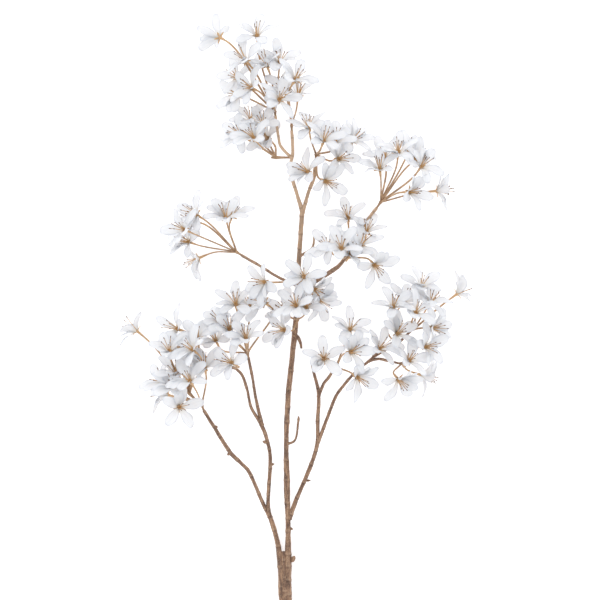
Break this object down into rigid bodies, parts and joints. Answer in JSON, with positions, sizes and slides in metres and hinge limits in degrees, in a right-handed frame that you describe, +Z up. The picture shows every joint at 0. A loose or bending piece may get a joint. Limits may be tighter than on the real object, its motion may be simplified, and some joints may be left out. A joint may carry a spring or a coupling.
{
  "type": "cherry blossom sprig",
  "caption": "Long cut sprig of white cherry blossom lying on its side: forked woody stem, slim gold-brown stalks in bunches, and open flowers with spreading petals and fine stamens.",
  "frame": {"origin": "centre of the bounding box, on the table plane", "axes": "+Y along the sprig from the cut end of the stem to the tip, +Z up from the table toward the side that is looked at, +X to the right as the picture is seen"},
  "size_m": [0.4435, 0.7384, 0.1367],
  "materials": {
    "bark": "rough matt bark, grey-brown with paler worn ridges",
    "stalk": "satin gold-brown, darker toward the twigs",
    "petal": "thin, matt, slightly translucent white with cool grey shading"
  },
  "bodies": {
    "root": {"blossom_01": "petal", "blossom_02": "petal", "blossom_03": "petal", "blossom_04": "petal", "blossom_05": "petal", "blossom_06": "petal", "blossom_07": "petal", "blossom_08": "petal", "blossom_09": "petal", "blossom_10": "petal", "blossom_11": "petal", "blossom_12": "petal", "blossom_13": "petal", "blossom_14": "petal", "blossom_15": "petal", "blossom_16": "petal", "blossom_17": "petal", "blossom_18": "petal", "blossom_19": "petal", "blossom_20": "petal", "blossom_21": "petal", "blossom_22": "petal", "blossom_23": "petal", "blossom_24": "petal", "blossom_25": "petal", "blossom_26": "petal", "blossom_27": "petal", "blossom_28": "petal", "blossom_29": "petal", "blossom_30": "petal", "blossom_31": "petal", "blossom_32": "petal", "blossom_33": "petal", "blossom_34": "petal", "blossom_35": "petal", "blossom_36": "petal", "blossom_37": "petal", "blossom_38": "petal", "blossom_39": "petal", "blossom_40": "petal", "blossom_41": "petal", "blossom_42": "petal", "blossom_43": "petal", "branch": "bark", "stalks_crown": "stalk", "stalks_crown_left": "stalk", "stalks_crown_right": "stalk", "stalks_far_left": "stalk", "stalks_far_right": "stalk", "stalks_heart": "stalk", "stalks_left_inner": "stalk", "stalks_left_low": "stalk", "stalks_low_right": "stalk", "stalks_lower_left": "stalk", "stalks_lower_right": "stalk", "stalks_lower_right_inner": "stalk", "stalks_middle": "stalk", "stalks_right": "stalk", "stalks_top_right": "stalk", "stalks_upper_right": "stalk"}
  },
  "joints": []
}
